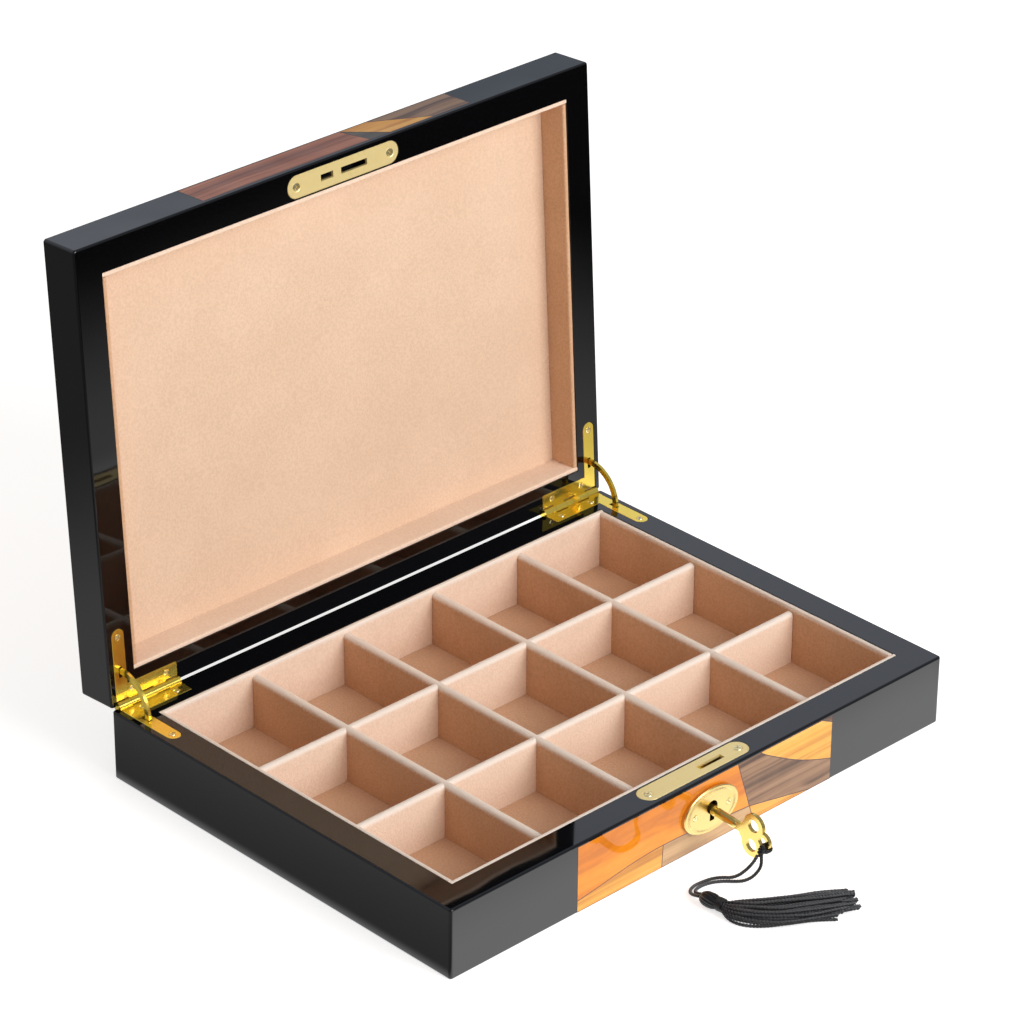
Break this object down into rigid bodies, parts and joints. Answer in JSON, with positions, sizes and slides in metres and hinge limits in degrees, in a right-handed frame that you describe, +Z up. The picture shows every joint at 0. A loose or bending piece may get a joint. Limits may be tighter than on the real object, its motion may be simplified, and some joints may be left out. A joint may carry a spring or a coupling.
{
  "type": "cufflink display box",
  "caption": "Lacquered wooden display box with velvet-lined compartments, patchwork veneer inlay, a lid on quadrant hinges with stays, and a lock with a key and tassel.",
  "frame": {"origin": "centre of the case's underside", "axes": "+X to the right as the front is faced, +Y to the back, +Z up"},
  "size_m": [0.3, 0.3332, 0.2501],
  "materials": {
    "brass": "polished and lacquered brass",
    "felt": "black felt",
    "lacquer": "black piano lacquer on wood, high gloss",
    "tassel_silk": "black twisted cord",
    "velvet": "short beige velvet",
    "veneer_amber": "amber veneer under gloss lacquer",
    "veneer_honey": "honey-coloured veneer under gloss lacquer",
    "veneer_olive": "greyish beige veneer under gloss lacquer",
    "veneer_rosewood": "red-brown rosewood veneer under gloss lacquer",
    "veneer_smoke": "smoked grey-brown veneer under gloss lacquer",
    "veneer_walnut": "striped walnut veneer under gloss lacquer"
  },
  "bodies": {
    "base": {"base_front_wall": "lacquer", "base_back_wall": "lacquer", "base_left_wall": "lacquer", "base_right_wall": "lacquer", "base_bottom_panel": "lacquer", "base_felt": "felt", "base_veneer_amber": "veneer_amber", "base_veneer_honey": "veneer_honey", "base_veneer_olive": "veneer_olive", "base_veneer_walnut": "veneer_walnut", "tray_floor_pad": "velvet", "tray_lining_front": "velvet", "tray_lining_back": "velvet", "tray_lining_left": "velvet", "tray_lining_right": "velvet", "tray_divider_long_1": "velvet", "tray_divider_long_2": "velvet", "tray_divider_long_3": "velvet", "tray_divider_long_4": "velvet", "tray_divider_cross_1": "velvet", "tray_divider_cross_2": "velvet", "hinge_base_leaf_left": "brass", "hinge_base_leaf_right": "brass", "hinge_pin_left": "brass", "hinge_pin_right": "brass", "hinge_base_screws": "brass", "lock_case": "brass", "lock_face_plate": "brass", "lock_plate_screws": "brass", "escutcheon": "brass", "escutcheon_screws": "brass"},
    "lid": {"lid_front_wall": "lacquer", "lid_back_wall": "lacquer", "lid_left_wall": "lacquer", "lid_right_wall": "lacquer", "lid_top_panel": "lacquer", "lid_veneer_rosewood": "veneer_rosewood", "lid_veneer_smoke": "veneer_smoke", "lid_veneer_honey": "veneer_honey", "lid_veneer_walnut": "veneer_walnut", "lid_lining_panel": "velvet", "lid_lining_front": "velvet", "lid_lining_back": "velvet", "lid_lining_left": "velvet", "lid_lining_right": "velvet", "hinge_lid_leaf_left": "brass", "hinge_lid_leaf_right": "brass", "hinge_lid_screws": "brass", "keep_plate": "brass", "keep_plate_screws": "brass"},
    "stay_left": {"stay_left": "brass"},
    "stay_right": {"stay_right": "brass"},
    "hook": {"lock_hook": "brass"},
    "tassel": {"tassel_cord_a": "tassel_silk", "tassel_cord_b": "tassel_silk", "tassel_head": "tassel_silk", "tassel_skirt": "tassel_silk"},
    "key": {"key": "brass", "key_hitch": "tassel_silk"}
  },
  "joints": [
    {"name": "lid_hinge", "type": "hinge", "parent": "base", "child": "lid", "pos_m": [0, 0.1081, 0.0344], "axis": [1, 0, 0], "range_deg": [0, 93.4]},
    {"name": "stay_left_swing", "type": "hinge", "parent": "base", "child": "stay_left", "pos_m": [-0.14335, 0.1081, 0.0344], "axis": [1, 0, 0], "range_deg": [0, 46.7]},
    {"name": "stay_right_swing", "type": "hinge", "parent": "base", "child": "stay_right", "pos_m": [0.14335, 0.1081, 0.0344], "axis": [1, 0, 0], "range_deg": [0, 46.7]},
    {"name": "key_withdraw", "type": "slide", "parent": "base", "child": "tassel", "axis": [0, -1, 0], "range_m": [0, 0.03]},
    {"name": "key_turn", "type": "hinge", "parent": "tassel", "child": "key", "pos_m": [0.0013, -0.0999, 0.0196], "axis": [0, -0.9968, -0.0802], "range_deg": [0, 90]},
    {"name": "hook_swing", "type": "hinge", "parent": "base", "child": "hook", "pos_m": [0.014, -0.0999, 0.026], "axis": [0, 1, 0], "range_deg": [0, 62]}
  ],
  "couplings": [
    {"joint": "stay_left_swing", "follows": "lid_hinge", "ratio": 0.5},
    {"joint": "stay_right_swing", "follows": "lid_hinge", "ratio": 0.5},
    {"joint": "hook_swing", "follows": "key_turn", "ratio": 0.68889}
  ]
}
